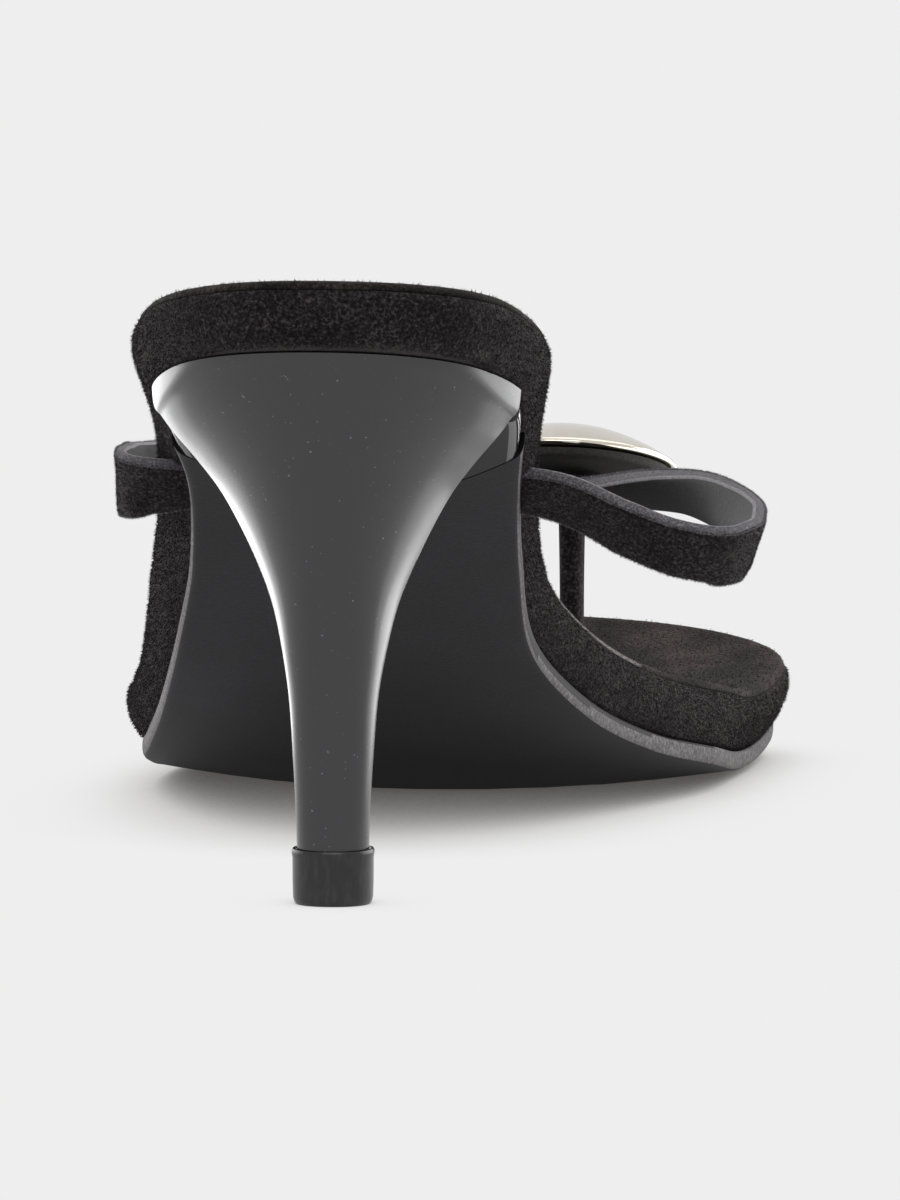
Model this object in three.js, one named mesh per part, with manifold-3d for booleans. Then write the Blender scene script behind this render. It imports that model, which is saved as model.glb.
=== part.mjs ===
// A left high-heeled thong mule: a suede-wrapped footbed on a slim flared heel, a thin outsole,
// and a flat suede ribbon that leaves the waist on both sides and meets on a toe post under a metal disc.
// Millimetres. +Y points to the toe, +X to the big-toe side, +Z up.
// The origin is on the floor, at the centre of the heel's top piece.
import * as THREE from "three";
import { mergeVertices } from "three/addons/utils/BufferGeometryUtils.js";
import Module from "manifold-3d";

const wasm = await Module();
wasm.setup();

// Driving sizes
const clearance = 0.3; // between pieces that touch
const wallHeight = 8.7; // suede side of the footbed, square to the bed
const wallBulge = 0.9; // how far the padded side swells out
const sockThickness = 1.0;
const bedDish = 0.6; // the bed's hollow from side to side
const outsoleThickness = 2.8;
const heelLift = 7; // height of the top piece
const ribbonWidth = 9.6;
const ribbonThickness = 2.1;
const ribbonCorner = 0.7; // bevel along the ribbon's edges
const discRadius = 16;
const discTilt = 18; // degrees, down towards the toe
const discCrown = 5.2; // height of the dome over its rim
const discPlace = { x: 16, y: 158, z: 42.2 };
const backingThickness = 1.2;
const rimHeight = 0.9; // of the disc, below its dome

// The last: along the shoe, the height of the bed's edge, the half widths of the bed,
// and how far the sole's edge is tucked in under the bed on each side.
const last = [
  { y: -22, edge: 85.0, medial: 31.0, lateral: 26.2, tuckMedial: 2.8, tuckLateral: 2.8 },
  { y: -4, edge: 80.4, medial: 27.5, lateral: 26.5, tuckMedial: 2.5, tuckLateral: 2.8 },
  { y: 16, edge: 73.4, medial: 26.9, lateral: 27.6, tuckMedial: 2.3, tuckLateral: 3.2 },
  { y: 36, edge: 62.3, medial: 23.5, lateral: 27.2, tuckMedial: 1.3, tuckLateral: 4.2 },
  { y: 56, edge: 48.8, medial: 21.3, lateral: 29.2, tuckMedial: 0.8, tuckLateral: 4.2 },
  { y: 76, edge: 36.1, medial: 21.6, lateral: 32.8, tuckMedial: 1.3, tuckLateral: 3.4 },
  { y: 96, edge: 26.2, medial: 26.9, lateral: 35.9, tuckMedial: 1.2, tuckLateral: 1.9 },
  { y: 116, edge: 19.7, medial: 33.6, lateral: 39.6, tuckMedial: 0.8, tuckLateral: 1.3 },
  { y: 136, edge: 15.7, medial: 40.3, lateral: 42.4, tuckMedial: 0.8, tuckLateral: 0.9 },
  { y: 156, edge: 12.9, medial: 43.0, lateral: 42.0, tuckMedial: 1.2, tuckLateral: 0.9 },
  { y: 176, edge: 13.2, medial: 45.0, lateral: 38.6, tuckMedial: 1.4, tuckLateral: 1.2 },
  { y: 192, edge: 15.9, medial: 45.8, lateral: 34.4, tuckMedial: 1.4, tuckLateral: 1.5 },
  { y: 203, edge: 18.8, medial: 45.8, lateral: 32.0, tuckMedial: 1.4, tuckLateral: 1.5 },
];
const heelEnd = -22;
const toeEnd = 202.5;
const heelRound = { length: 40, along: 2.6, across: 2.3 };
const toeRound = { length: 24, along: 2.7, across: 2.3 };
const endPinch = { heel: 22, toe: 26 }; // how far from each end the middle line of the bed stops
const treadSag = { depth: 3.6, y: 138, spread: 32 }; // the sole's belly under the ball
// Where the heel's seat plate stops and the outsole begins: an arc in plan, further forward in the middle
const breastLine = { middle: 31, side: 18.5, half: 24.4 };
const seatPlate = { back: 9, inset: 0.7 };

// The heel from the top piece up, one section a row: its back, its widest place and the middle of its breast,
// each with its height, its half width, and its front's bend: 1 is round, and 2 leaves a crisp edge down
// each flank. The back is a little squarer than an ellipse all the way up, and where the flanks are crisp
// it stops short of turning straight forward.
const backSquareness = 2.2;
const flankTurn = 0.8; // how much of a quarter turn the back makes there
const stemFoot = heelLift + clearance;
const heelColumns = ["back", "backHeight", "side", "sideHeight", "half", "breast", "breastHeight", "bend"];
const heelSections = [
  [-4.9, stemFoot, 0, stemFoot, 4.8, 4.9, stemFoot, 1],
  [-4.9, 13, 0, 13, 5, 5, 13, 1],
  [-5.1, 20, 0.4, 20, 5.4, 5.3, 20, 1],
  [-5.6, 28, 1, 27.5, 6, 6, 27, 1.1],
  [-6.6, 35, 2, 34, 7.1, 6.9, 33, 1.3],
  [-8, 41.5, 3, 39.4, 8.4, 8.2, 38, 1.5],
  [-9.7, 47.5, 4, 44.1, 10.2, 10.2, 42, 1.7],
  [-11.8, 54, 4.4, 49.5, 12.7, 13.4, 46, 1.9],
  [-13.8, 60, 4.4, 54.5, 15.5, 17.6, 49.5, 2],
  [-15.6, 65, 4.2, 58.6, 18.6, 22, 52.2, 2],
  [-17.2, 69.5, 4, 62.1, 21.6, 26, 54.6, 2],
  [-18.5, 73, 4, 64.4, 23.3, 28.4, 56.4, 2],
  [-19.8, 76.5, 4.2, 66.4, 24.5, 29.2, 58.5, 2],
  [-20.8, 84, 4.6, 74, 24.9, 29.2, 66, 2],
].map((row) => Object.fromEntries(heelColumns.map((column, k) => [column, row[k]])));

// The ribbon's route from the seam at the waist to the toe post: its centre line,
// and the direction across it towards the edge that shows from behind.
const medialArm = [
  { x: 8, y: 37.6, z: 52.2, across: [0, -0.84, 0.54] },
  { x: 20, y: 37.6, z: 52, across: [0, -0.8, 0.6] },
  { x: 28, y: 37.2, z: 50.5, across: [0, -0.72, 0.69] },
  { x: 36, y: 36.2, z: 46.8, across: [0, -0.62, 0.78] },
  { x: 43, y: 35.6, z: 44.3, across: [0, -0.62, 0.78] },
  { x: 48.4, y: 36.8, z: 43.4, across: [0.15, -0.65, 0.74] },
  { x: 51, y: 42.5, z: 43.4, across: [0.28, -0.62, 0.72] },
  { x: 51.2, y: 53, z: 44, across: [0.3, -0.52, 0.78] },
  { x: 49.2, y: 69, z: 44.3, across: [0.1, -0.35, 0.9] },
  { x: 45, y: 86, z: 44.9, across: [-0.2, -0.28, 0.9] },
  { x: 39.8, y: 103, z: 44.8, across: [-0.5, -0.3, 0.68] },
  { x: 33.5, y: 120, z: 44, across: [-0.65, -0.4, 0.48] },
  { x: 26, y: 138, z: 42.2, across: [-0.7, -0.5, 0.33] },
  { x: 16, y: 159, z: 40.2, across: [-0.77, -0.57, 0.19] },
];
const lateralArm = [
  { x: -10, y: 37.6, z: 52.2, across: [0, -0.84, 0.54] },
  { x: -23, y: 37.6, z: 52.2, across: [0, -0.78, 0.62] },
  { x: -27.5, y: 37.6, z: 52, across: [0, -0.68, 0.73] },
  { x: -31.1, y: 39.3, z: 52, across: [0.03, -0.66, 0.75] },
  { x: -33.1, y: 45, z: 51.8, across: [0.06, -0.66, 0.75] },
  { x: -34, y: 56, z: 51.2, across: [0.05, -0.52, 0.85] },
  { x: -35.4, y: 74, z: 49.7, across: [0, -0.3, 0.94] },
  { x: -36.7, y: 93, z: 48, across: [-0.05, -0.2, 0.97] },
  { x: -34.8, y: 112, z: 46.6, across: [0.1, -0.25, 0.94] },
  { x: -27, y: 128, z: 44.8, across: [0.25, -0.4, 0.86] },
  { x: -14, y: 141, z: 42.6, across: [0.38, -0.55, 0.7] },
  { x: 1, y: 151, z: 40.6, across: [0.47, -0.65, 0.45] },
  { x: 18, y: 158, z: 40.2, across: [0.57, -0.76, 0.25] },
];
const post = { x: 17, y: 160, halfAcross: 1.9, halfAlong: 3, foot: 7, head: 39, squareness: 3 };
// The knot: its underside is smaller than its belly, listed as depth share and size share
const knot = {
  x: 16.5,
  y: 158,
  halfAcross: 7,
  halfAlong: 8,
  thickness: 4,
  squareness: 2.3,
  steps: [
    { depth: 1, size: 0.45 },
    { depth: 0.6, size: 0.85 },
    { depth: 0.1, size: 1 },
    { depth: 0, size: 0.92 },
  ],
};
// The top piece from the floor up: height, half width across and half length along
const topPieceSteps = [
  { height: 0, halfAcross: 5.0, halfAlong: 5.2 },
  { height: 0.6, halfAcross: 5.3, halfAlong: 5.5 },
  { height: heelLift, halfAcross: 5.4, halfAlong: 5.5 },
];

// A smooth curve through one column of a table, with its slope
function columnAt(table, name, y) {
  const end = table.length - 1;
  const slopeAt = (k) => {
    const before = table[Math.max(k - 1, 0)];
    const after = table[Math.min(k + 1, end)];
    return (after[name] - before[name]) / (after.y - before.y);
  };
  let k = 0;
  while (k < end - 1 && y > table[k + 1].y) k += 1;
  const a = table[k];
  const b = table[k + 1];
  const span = b.y - a.y;
  const t = THREE.MathUtils.clamp((y - a.y) / span, 0, 1);
  const startSlope = slopeAt(k) * span;
  const endSlope = slopeAt(k + 1) * span;
  const value = a[name] * (2 * t ** 3 - 3 * t ** 2 + 1) + b[name] * (3 * t ** 2 - 2 * t ** 3)
    + startSlope * (t ** 3 - 2 * t ** 2 + t) + endSlope * (t ** 3 - t ** 2);
  return value + (y > b.y ? slopeAt(end) * (y - b.y) : 0);
}

// A point of the shoe from its place in plan and its depth below the bed, square to the bed
function bedPoint(x, y, depth) {
  const rise = (columnAt(last, "edge", y + 0.5) - columnAt(last, "edge", y - 0.5));
  const length = Math.hypot(rise, 1);
  return [x, y + (depth * rise) / length, columnAt(last, "edge", y) - depth / length];
}

// How much of the full half width is left near the round heel end and the round toe
function endRounding(y) {
  const fromHeel = Math.min((y - heelEnd) / heelRound.length, 1);
  const fromToe = Math.min((toeEnd - y) / toeRound.length, 1);
  const heel = (1 - (1 - fromHeel) ** heelRound.along) ** (1 / heelRound.across);
  const toe = (1 - (1 - fromToe) ** toeRound.along) ** (1 / toeRound.across);
  return heel * toe;
}

// The closed outline of the bed in plan, from the heel end up the medial side and back down the lateral side.
// tucked goes from 0 at the bed's own edge to 1 at the sole's edge.
const sideSteps = 44;
function outline(tucked) {
  const points = [];
  for (let step = 0; step < 2 * sideSteps; step += 1) {
    const turn = (Math.PI * step) / sideSteps;
    const y = heelEnd + ((toeEnd - heelEnd) * (1 - Math.cos(turn))) / 2;
    const side = step <= sideSteps ? "medial" : "lateral";
    const tuckName = step <= sideSteps ? "tuckMedial" : "tuckLateral";
    const half = columnAt(last, side, y) - tucked * columnAt(last, tuckName, y);
    const sign = step <= sideSteps ? 1 : -1;
    points.push({ x: sign * half * endRounding(y), y });
  }
  return points;
}

// Move a closed outline outwards by a distance, square to itself
function offsetOutline(points, distance) {
  const count = points.length;
  return points.map((point, k) => {
    const before = points[(k + count - 1) % count];
    const after = points[(k + 1) % count];
    const length = Math.hypot(after.x - before.x, after.y - before.y);
    return {
      x: point.x + (distance * (after.y - before.y)) / length,
      y: point.y - (distance * (after.x - before.x)) / length,
    };
  });
}

// Draw an outline in towards the middle line of the shoe by a share of the way
function drawIn(points, share) {
  const count = points.length;
  return points.map((point, k) => {
    const opposite = points[(count - k) % count];
    const middle = (point.x + opposite.x) / 2;
    const y = THREE.MathUtils.clamp(point.y, heelEnd + endPinch.heel, toeEnd - endPinch.toe);
    return { x: THREE.MathUtils.lerp(point.x, middle, share), y: THREE.MathUtils.lerp(point.y, y, share) };
  });
}

// A closed body from rings of points, each ring running the same way round.
// The first and last rings are closed straight across from side to side.
function skin(rings) {
  const count = rings[0].length;
  const positions = rings.flat(2);
  const faces = [];
  for (let ring = 0; ring < rings.length - 1; ring += 1) {
    for (let k = 0; k < count; k += 1) {
      const a = ring * count + k;
      const b = ring * count + ((k + 1) % count);
      faces.push(a, b, b + count, a, b + count, a + count);
    }
  }
  const top = (rings.length - 1) * count;
  for (let k = 0; k < count / 2; k += 1) {
    const near = [k, k + 1, count - k - 1, (count - k) % count];
    if (k + 1 < count / 2) faces.push(near[0], near[2], near[1]);
    if (k > 0) faces.push(near[0], near[3], near[2]);
    if (k + 1 < count / 2) faces.push(top + near[0], top + near[1], top + near[2]);
    if (k > 0) faces.push(top + near[0], top + near[2], top + near[3]);
  }
  return new wasm.Manifold(new wasm.Mesh({
    numProp: 3,
    vertProperties: new Float32Array(positions),
    triVerts: new Uint32Array(faces),
  }));
}

// A plate that follows the bed. Its edge is a list of steps from the underside up: how far it is tucked
// in towards the sole's edge, an outward offset, and its depth below the bed.
const plateShares = [0.92, 0.62, 0.3]; // how far in each ring of its upper and lower face lies
function plate({ edge, lowerBelly, upperBelly, lowerDish = 0, upperDish = 0 }) {
  const fullness = (share) => 1 - (1 - share) ** 2;
  const sagAt = (y) => treadSag.depth * Math.exp(-(((y - treadSag.y) / treadSag.spread) ** 2));
  const face = (step, share, belly, dish) => {
    const points = drawIn(offsetOutline(outline(step.tucked), step.out), share);
    const full = fullness(share);
    return points.map((p) => bedPoint(p.x, p.y, step.depth + (belly * sagAt(p.y) + dish) * full));
  };
  const lowest = edge[0];
  const highest = edge[edge.length - 1];
  const rings = plateShares.map((share) => face(lowest, share, lowerBelly, lowerDish));
  for (const step of edge) rings.push(face(step, 0, 0, 0));
  for (const share of [...plateShares].reverse()) rings.push(face(highest, share, upperBelly, upperDish));
  return skin(rings);
}

// A flat ribbon with soft corners along a route, or the room for one when it is grown on all sides
const stepsPerRow = 6;
function ribbon(route, growth) {
  const pointOf = (row) => new THREE.Vector3(row.x, row.y, row.z);
  const path = new THREE.CatmullRomCurve3(route.map(pointOf), false, "centripetal");
  const steps = stepsPerRow * (route.length - 1);
  const halfWidth = ribbonWidth / 2 + growth;
  const halfThickness = ribbonThickness / 2 + growth;
  const rings = [];
  for (let step = 0; step <= steps; step += 1) {
    const t = step / steps;
    const centre = path.getPoint(t);
    const along = path.getTangent(t);
    if (step === 0) centre.addScaledVector(along, -growth);
    if (step === steps) centre.addScaledVector(along, growth);
    const row = Math.min(Math.floor(t * (route.length - 1)), route.length - 2);
    const share = t * (route.length - 1) - row;
    const across = new THREE.Vector3(...route[row].across);
    across.lerp(new THREE.Vector3(...route[row + 1].across), share);
    across.addScaledVector(along, -across.dot(along)).normalize();
    const through = new THREE.Vector3().crossVectors(along, across);
    const ring = [];
    for (const [side, face] of [[1, 1], [-1, 1], [-1, -1], [1, -1]]) {
      const corners = [[side * halfWidth, face * (halfThickness - ribbonCorner)],
        [side * (halfWidth - ribbonCorner), face * halfThickness]];
      if (side * face < 0) corners.reverse();
      for (const [a, b] of corners) {
        ring.push(centre.clone().addScaledVector(across, a).addScaledVector(through, b).toArray());
      }
    }
    rings.push(ring);
  }
  return skin(rings);
}

// A rounded ring across the shoe: half sizes along x and y, with a squareness
function roundRing(x, y, z, halfX, halfY, squareness, count) {
  const ring = [];
  for (let k = 0; k < count; k += 1) {
    const turn = (2 * Math.PI * k) / count;
    const across = Math.sin(turn);
    const along = -Math.cos(turn);
    const bend = (value) => Math.sign(value) * Math.abs(value) ** (2 / squareness);
    ring.push([x + halfX * bend(across), y + halfY * bend(along), z]);
  }
  return ring;
}

// Everything below the floor, for what is ground flat
function underFloor() {
  const reach = 500;
  const shape = new THREE.BoxGeometry(reach, reach, reach);
  shape.translate(0, 0, -reach / 2);
  return toSolid(shape);
}

// A tall block: in plan it reaches from a straight back edge to the breast line, moved forward by a distance
function behindBreast(backY, forward) {
  const reach = 40;
  const steps = 16;
  const height = 120;
  const points = [new THREE.Vector2(reach, backY), new THREE.Vector2(-reach, backY)];
  for (let step = -steps; step <= steps; step += 1) {
    const x = (reach * step) / steps;
    const bow = (breastLine.middle - breastLine.side) * (x / breastLine.half) ** 2;
    points.push(new THREE.Vector2(x, Math.max(breastLine.middle - bow + forward, backY + clearance)));
  }
  const shape = new THREE.Shape(points.reverse());
  return toSolid(new THREE.ExtrudeGeometry(shape, { depth: height, bevelEnabled: false }));
}

function toSolid(geometry) {
  geometry.deleteAttribute("normal");
  geometry.deleteAttribute("uv");
  const merged = mergeVertices(geometry);
  return new wasm.Manifold(new wasm.Mesh({
    numProp: 3,
    vertProperties: new Float32Array(merged.attributes.position.array),
    triVerts: new Uint32Array(merged.index.array),
  }));
}

function toMesh(name, body, material) {
  const { vertProperties, triVerts } = body.getMesh();
  const geometry = new THREE.BufferGeometry();
  geometry.setAttribute("position", new THREE.BufferAttribute(new Float32Array(vertProperties), 3));
  geometry.setIndex(new THREE.BufferAttribute(new Uint32Array(triVerts), 1));
  const mesh = new THREE.Mesh(geometry, material);
  mesh.name = name;
  return mesh;
}

// The toe post, or the room for it when it is grown
function postBody(growth) {
  const sides = 12;
  const ringAt = (height) => {
    const across = post.halfAcross + growth;
    return roundRing(post.x, post.y, height, across, post.halfAlong + growth, post.squareness, sides);
  };
  return skin([ringAt(post.foot - growth), ringAt(post.head)]);
}

// Upper: one suede ribbon on each side, joined under the disc over the toe post by a small flat knot
function upperBody() {
  const sides = 20;
  const slope = -Math.tan(THREE.MathUtils.degToRad(discTilt));
  const knotBody = skin(knot.steps.map(({ depth, size }) => {
    const height = discPlace.z - 2 * clearance - depth * knot.thickness;
    const halfX = knot.halfAcross * size;
    const halfY = knot.halfAlong * size;
    const ring = roundRing(knot.x, knot.y, height, halfX, halfY, knot.squareness, sides);
    return ring.map(([x, y, z]) => [x, y, z + slope * (y - discPlace.y)]);
  }));
  return ribbon(medialArm, 0).add(ribbon(lateralArm, 0)).add(postBody(0)).add(knotBody);
}

// Footbed: padded board wrapped in suede, its side swelling out a little between two soft edges
function footbedBody() {
  const sockRoom = sockThickness + clearance;
  const body = plate({
    lowerBelly: 1,
    upperBelly: 0,
    upperDish: bedDish,
    edge: [
      { tucked: 1, out: -0.4, depth: wallHeight },
      { tucked: 0.85, out: 0.1, depth: wallHeight - 1.1 },
      { tucked: 0.4, out: wallBulge, depth: wallHeight * 0.6 },
      { tucked: 0.1, out: wallBulge, depth: wallHeight * 0.32 },
      { tucked: 0, out: 0, depth: sockRoom },
    ],
  });
  return body.subtract(postBody(clearance))
    .subtract(ribbon(medialArm, clearance))
    .subtract(ribbon(lateralArm, clearance));
}

// Sock: the suede sheet that covers the bed, its cut edge showing along the side
function sockBody() {
  const body = plate({
    lowerBelly: 0,
    upperBelly: 0,
    lowerDish: bedDish,
    upperDish: bedDish,
    edge: [
      { tucked: 0, out: -0.4, depth: sockThickness },
      { tucked: 0, out: -0.3, depth: 0.3 },
      { tucked: 0, out: -0.8, depth: 0 },
    ],
  });
  return body.subtract(postBody(clearance));
}

// The thin sheet under the footbed, which the heel's seat plate carries on backwards, with its edge drawn in
function soleSheet(inset) {
  const top = wallHeight + clearance;
  return plate({
    lowerBelly: 1,
    upperBelly: 1,
    edge: [
      { tucked: 1, out: -0.8 - inset, depth: top + outsoleThickness },
      { tucked: 1, out: -inset, depth: top + outsoleThickness * 0.7 },
      { tucked: 1, out: -inset, depth: top },
    ],
  });
}

// Outsole: from the heel's seat plate to the toe, ground flat where it treads
function outsoleBody() {
  return soleSheet(0)
    .subtract(behindBreast(2 * heelEnd, clearance))
    .subtract(underFloor())
    .subtract(ribbon(medialArm, clearance))
    .subtract(ribbon(lateralArm, clearance));
}

// Heel: a round stem that flares up and out into the seat, with a thin plate that runs on under the footbed
function heelBody() {
  const quarter = 11;
  const backBend = (value) => Math.max(value, 0) ** (2 / backSquareness);
  const rings = heelSections.map((section) => {
    const half = [];
    const turned = flankTurn + (1 - flankTurn) * THREE.MathUtils.clamp(2 - section.bend, 0, 1);
    const edgeAcross = backBend(Math.sin((turned * Math.PI) / 2));
    const edgeAlong = backBend(Math.cos((turned * Math.PI) / 2));
    for (let k = 0; k <= 2 * quarter; k += 1) {
      const turn = (Math.PI * k) / (2 * quarter);
      const inFront = k > quarter;
      let across = section.half * Math.sin(turn);
      let share = Math.abs(Math.cos(turn)) ** section.bend;
      if (!inFront) {
        across = (section.half * backBend(Math.sin(turn * turned))) / edgeAcross;
        share = (backBend(Math.cos(turn * turned)) - edgeAlong) / (1 - edgeAlong);
      }
      const from = inFront ? section.breast : section.back;
      const height = inFront ? section.breastHeight : section.backHeight;
      half.push([
        across,
        THREE.MathUtils.lerp(section.side, from, share),
        THREE.MathUtils.lerp(section.sideHeight, height, share),
      ]);
    }
    const mirrored = half.slice(1, -1).reverse().map(([x, y, z]) => [-x, y, z]);
    return [...half, ...mirrored];
  });
  const wider = 3;
  const footbedRoom = plate({
    lowerBelly: 1,
    upperBelly: 0,
    edge: [
      { tucked: 1, out: wider, depth: wallHeight + clearance },
      { tucked: 1, out: wider, depth: -wallHeight },
    ],
  });
  const plateBody = soleSheet(seatPlate.inset).intersect(behindBreast(seatPlate.back, 0));
  return skin(rings).add(plateBody).subtract(footbedRoom);
}

// Top piece: the hard lift that the heel stands on, a little wider than the stem
function topPieceBody() {
  const sides = 28;
  return skin(topPieceSteps.map(({ height, halfAcross, halfAlong }) => (
    roundRing(0, 0, height, halfAcross, halfAlong, backSquareness, sides)
  )));
}

const suede = new THREE.MeshStandardMaterial({ color: 0x1b1817, roughness: 0.95, metalness: 0 });
const soleRubber = new THREE.MeshStandardMaterial({ color: 0x2f2e32, roughness: 0.6, metalness: 0 });
const heelPlastic = new THREE.MeshStandardMaterial({ color: 0x1a191b, roughness: 0.2, metalness: 0 });
const liftRubber = new THREE.MeshStandardMaterial({ color: 0x141415, roughness: 0.5, metalness: 0 });
const nickel = new THREE.MeshStandardMaterial({ color: 0xd8d4c8, roughness: 0.15, metalness: 1 });
const backing = new THREE.MeshStandardMaterial({ color: 0x151414, roughness: 0.8, metalness: 0 });

// Disc: a domed metal plate over a flat backing, both turned about one axis
const disc = new THREE.Group();
disc.position.set(discPlace.x, discPlace.y, discPlace.z);
disc.rotation.x = THREE.MathUtils.degToRad(-discTilt);
const backingProfile = [
  [0, 0], [discRadius - 0.8, 0], [discRadius - 0.5, backingThickness], [0, backingThickness],
];
const discFoot = backingThickness + clearance;
const rimTop = discFoot + rimHeight;
const domeRadius = discRadius - 0.2;
const domeProfile = [
  [0, discFoot], [discRadius - 0.3, discFoot], [discRadius, discFoot + rimHeight / 2], [domeRadius, rimTop],
];
const domeSteps = 6;
for (let step = 1; step <= domeSteps; step += 1) {
  const left = 1 - step / domeSteps;
  domeProfile.push([domeRadius * left, rimTop + discCrown * (1 - left ** 2)]);
}
const latheSides = 40;
const lathe = (profile) => {
  const shape = new THREE.LatheGeometry(profile.map(([r, z]) => new THREE.Vector2(r, z)), latheSides);
  shape.rotateX(Math.PI / 2);
  return toSolid(shape);
};
disc.add(toMesh("disc_backing", lathe(backingProfile), backing));
disc.add(toMesh("metal_disc", lathe(domeProfile), nickel));

const sandal = new THREE.Group();
sandal.add(toMesh("footbed", footbedBody(), suede));
sandal.add(toMesh("insole_sock", sockBody(), suede));
sandal.add(toMesh("outsole", outsoleBody(), soleRubber));
sandal.add(toMesh("heel", heelBody(), heelPlastic));
sandal.add(toMesh("top_piece", topPieceBody(), liftRubber));
sandal.add(toMesh("upper", upperBody(), suede));
sandal.add(disc);

export default sandal;
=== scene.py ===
# A left thong mule dressed for the render: suede footbed and ribbons, gloss heel, thin sole, nickel disc.
# Millimetres, +Y to the toe, +X to the big-toe side, +Z up; every mesh is turned to metres as it is made.
import math
import bpy
import numpy as np
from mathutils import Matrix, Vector


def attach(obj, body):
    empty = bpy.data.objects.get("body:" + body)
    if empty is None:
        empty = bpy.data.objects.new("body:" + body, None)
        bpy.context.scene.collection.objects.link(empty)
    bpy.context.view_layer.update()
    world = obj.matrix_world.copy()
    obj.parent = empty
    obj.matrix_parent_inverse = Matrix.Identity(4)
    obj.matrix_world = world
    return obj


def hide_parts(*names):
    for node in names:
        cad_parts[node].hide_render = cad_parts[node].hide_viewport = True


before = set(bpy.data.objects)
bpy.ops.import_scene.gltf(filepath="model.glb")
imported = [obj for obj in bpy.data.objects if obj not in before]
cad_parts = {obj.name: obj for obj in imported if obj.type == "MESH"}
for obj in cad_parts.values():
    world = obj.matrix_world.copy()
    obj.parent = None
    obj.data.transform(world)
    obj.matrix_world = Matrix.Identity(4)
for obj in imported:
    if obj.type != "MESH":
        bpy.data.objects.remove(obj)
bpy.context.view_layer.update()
mm = 0.001
dice = np.random.default_rng(38)
print("frame loaded")

# The last, one station a row, from the heel end to the toe
lastColumns = ("y", "edge", "medial", "lateral", "tuckMedial", "tuckLateral")
lastRows = np.array([
    (-22, 85.0, 31.0, 26.2, 2.8, 2.8),
    (-4, 80.4, 27.5, 26.5, 2.5, 2.8),
    (16, 73.4, 26.9, 27.6, 2.3, 3.2),
    (36, 62.3, 23.5, 27.2, 1.3, 4.2),
    (56, 48.8, 21.3, 29.2, 0.8, 4.2),
    (76, 36.1, 21.6, 32.8, 1.3, 3.4),
    (96, 26.2, 26.9, 35.9, 1.2, 1.9),
    (116, 19.7, 33.6, 39.6, 0.8, 1.3),
    (136, 15.7, 40.3, 42.4, 0.8, 0.9),
    (156, 12.9, 43.0, 42.0, 1.2, 0.9),
    (176, 13.2, 45.0, 38.6, 1.4, 1.2),
    (192, 15.9, 45.8, 34.4, 1.4, 1.5),
    (203, 18.8, 45.8, 32.0, 1.4, 1.5),
])
last = dict(zip(lastColumns, lastRows.T))
shoe = {
    "heelEnd": -22,
    "toeEnd": 202.5,
    "wallHeight": 8.7,  # suede side of the footbed, square to the bed
    "gap": 0.3,
    "bedDish": 0.6,
    "heelRound": (40, 2.6, 2.3),  # length of the round end, and its bend along and across
    "toeRound": (24, 2.7, 2.3),
    "middleLine": (0, 176.5),  # where the bed's middle line begins and ends
    "bellyDepth": 3.6,
    "bellyPlace": 138,
    "bellySpread": 32,
    "breastMiddle": 31,  # where the outsole meets the heel's seat plate, an arc in plan
    "breastSide": 18.5,
    "breastHalf": 24.4,
}


def curveAt(stations, values, at):  # a smooth curve through a row of values
    slopes = np.diff(values) / np.diff(stations)
    middle = (values[2:] - values[:-2]) / (stations[2:] - stations[:-2])
    slopes = np.concatenate([slopes[:1], middle, slopes[-1:]])
    k = np.clip(np.searchsorted(stations, at, side="left") - 1, 0, len(stations) - 2)
    span = stations[k + 1] - stations[k]
    t = np.clip((at - stations[k]) / span, 0, 1)
    value = values[k] * (2 * t**3 - 3 * t**2 + 1) + values[k + 1] * (3 * t**2 - 2 * t**3)
    value += slopes[k] * span * (t**3 - 2 * t**2 + t) + slopes[k + 1] * span * (t**3 - t**2)
    return value + np.where(at > stations[-1], slopes[-1] * (at - stations[-1]), 0)


def lastAt(name, y):
    return curveAt(last["y"], last[name], np.asarray(y, float))


def bedPoints(x, y, depth):  # points from their place in plan and their depth square to the bed
    rise = lastAt("edge", y + 0.5) - lastAt("edge", y - 0.5)
    length = np.hypot(rise, 1)
    return np.stack([x, y + depth * rise / length, lastAt("edge", y) - depth / length], axis=-1)


def depthUnderBed(points):  # the other way round, for points near the shoe
    y = points[..., 1]
    for _ in range(6):
        rise = lastAt("edge", y + 0.5) - lastAt("edge", y - 0.5)
        depth = (lastAt("edge", y) - points[..., 2]) * np.hypot(rise, 1)
        y = points[..., 1] - depth * rise / np.hypot(rise, 1)
    return depth


def endRounding(y):
    share = 1
    for gone, (length, along, across) in (
        (y - shoe["heelEnd"], shoe["heelRound"]),
        (shoe["toeEnd"] - y, shoe["toeRound"]),
    ):
        near = 1 - np.clip(gone / length, 0, 1)
        share = share * (1 - near**along) ** (1 / across)
    return share


def outline(tucked, steps, startY=None):  # closed, up the medial side and back down the lateral side
    startY = shoe["heelEnd"] if startY is None else startY
    turn = np.pi * np.arange(2 * steps) / steps
    y = startY + (shoe["toeEnd"] - startY) * (1 - np.cos(turn)) / 2
    medial = np.arange(2 * steps) <= steps
    half = np.where(
        medial,
        lastAt("medial", y) - tucked * lastAt("tuckMedial", y),
        lastAt("lateral", y) - tucked * lastAt("tuckLateral", y),
    )
    return np.stack([np.where(medial, 1, -1) * half * endRounding(y), y], axis=-1)


def offsetOutline(points, distance):
    along = np.roll(points, -1, axis=0) - np.roll(points, 1, axis=0)
    along /= np.hypot(along[:, 0], along[:, 1])[:, None]
    return points + distance * np.stack([along[:, 1], -along[:, 0]], axis=-1)


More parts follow.
